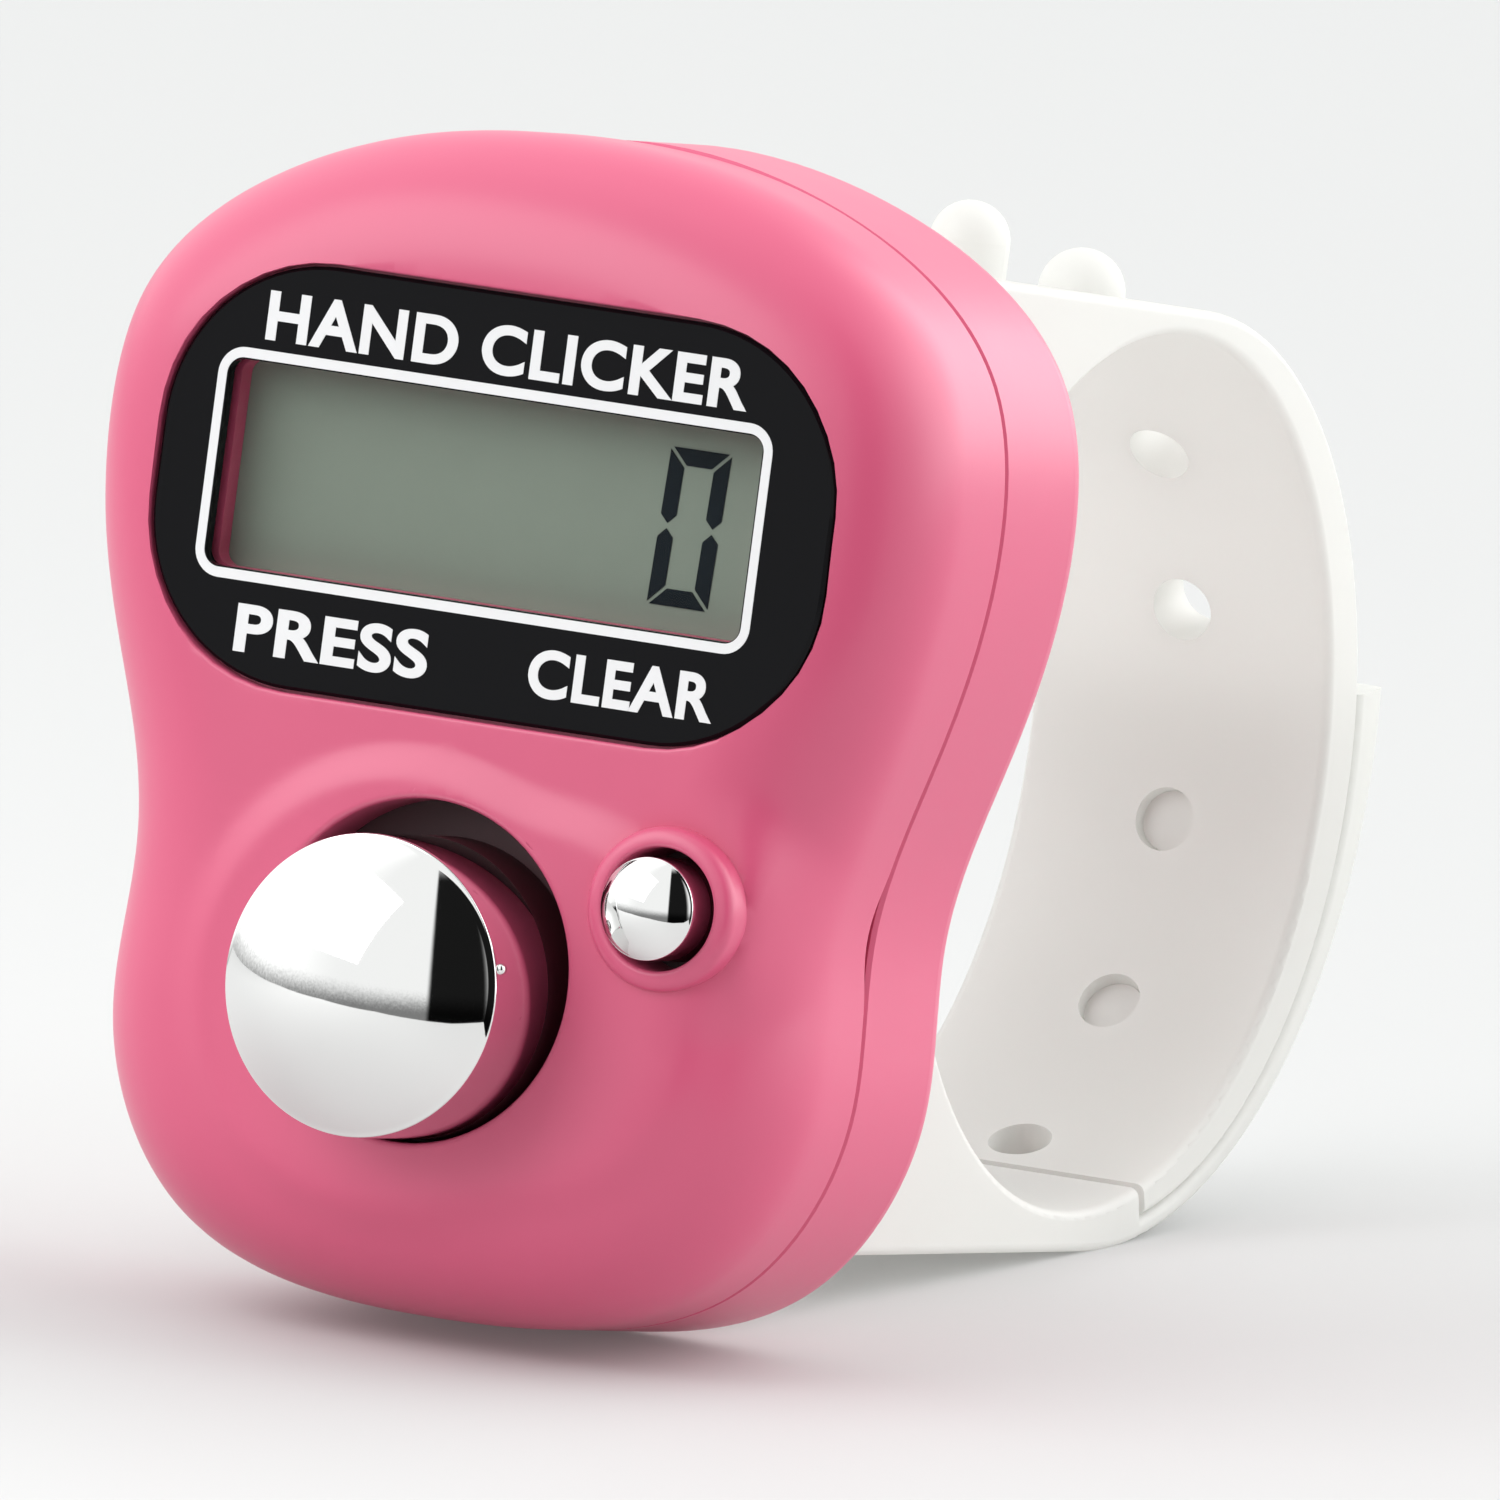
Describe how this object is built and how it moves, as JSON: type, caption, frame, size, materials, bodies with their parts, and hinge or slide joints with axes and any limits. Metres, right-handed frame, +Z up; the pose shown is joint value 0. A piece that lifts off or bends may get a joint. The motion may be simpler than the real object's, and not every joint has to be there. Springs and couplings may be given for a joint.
{
  "type": "hand tally counter",
  "caption": "Electronic finger tally counter: a rounded plastic case with a display, a domed count button, a small reset button and a silicone ring strap.",
  "frame": {"origin": "on the ground, under the middle of the whole model as it stands on the heel of its case and the bottom of its strap", "axes": "+Z up, -Y the way the display and buttons face (the case leans back 6.7 degrees), +Y towards the strap, +X to the reset button's side"},
  "size_m": [0.0318, 0.0652, 0.0404],
  "materials": {
    "pink_plastic": "satin moulded ABS",
    "black_gloss": "high gloss with white print",
    "clear_plastic": "clear polished acrylic",
    "lcd_film": "polarising film",
    "lcd_glass": "clear thin glass",
    "lcd_reflector": "grey-green reflective film",
    "lcd_segment": "dark segment",
    "black_plastic": "plain moulded",
    "zebra_rubber": "layered elastomer",
    "board_laminate": "solder-masked laminate",
    "steel": "zinc plated",
    "epoxy": "cast epoxy",
    "component_body": "ceramic and plastic bodies",
    "cell_steel": "nickel plated",
    "contact_metal": "sprung plated strip",
    "chrome_plated": "chrome-plated ABS, mirror bright",
    "silicone": "translucent white silicone",
    "carbon_rubber": "conductive rubber"
  },
  "bodies": {
    "case": {"front_housing": "pink_plastic", "back_cover": "pink_plastic", "case_screws": "steel", "label_plate": "black_gloss", "window_pane": "clear_plastic", "lcd_front_film": "lcd_film", "lcd_front_glass": "lcd_glass", "lcd_rear_glass": "lcd_glass", "lcd_reflector": "lcd_reflector", "digit_segments": "lcd_segment", "lcd_holder": "black_plastic", "zebra_strip": "zebra_rubber", "circuit_board": "board_laminate", "board_screws": "steel", "chip_blob": "epoxy", "board_components": "component_body", "battery_holder": "black_plastic", "battery": "cell_steel", "battery_contact_negative": "contact_metal", "battery_contact_positive": "contact_metal", "count_dome": "silicone", "reset_dome": "silicone", "strap_upper": "silicone", "strap_lower": "silicone", "strap_pins": "steel"},
    "count_button": {"count_button": "chrome_plated", "count_pill": "carbon_rubber"},
    "reset_button": {"reset_button": "chrome_plated", "reset_pill": "carbon_rubber"},
    "battery_door": {"battery_door": "pink_plastic"}
  },
  "joints": [
    {"name": "count_press", "type": "slide", "parent": "case", "child": "count_button", "axis": [0, 0.9932, -0.1161], "range_m": [0, 0.0007], "stiffness_N_per_m": 2000, "deforming": ["count_dome"]},
    {"name": "reset_press", "type": "slide", "parent": "case", "child": "reset_button", "axis": [0, 0.9932, -0.1161], "range_m": [0, 0.00045], "stiffness_N_per_m": 2500, "deforming": ["reset_dome"]},
    {"name": "battery_door_turn", "type": "hinge", "parent": "case", "child": "battery_door", "pos_m": [0, -0.01194, 0.01997], "axis": [0, -0.9932, 0.1161], "range_deg": [0, 45]}
  ]
}
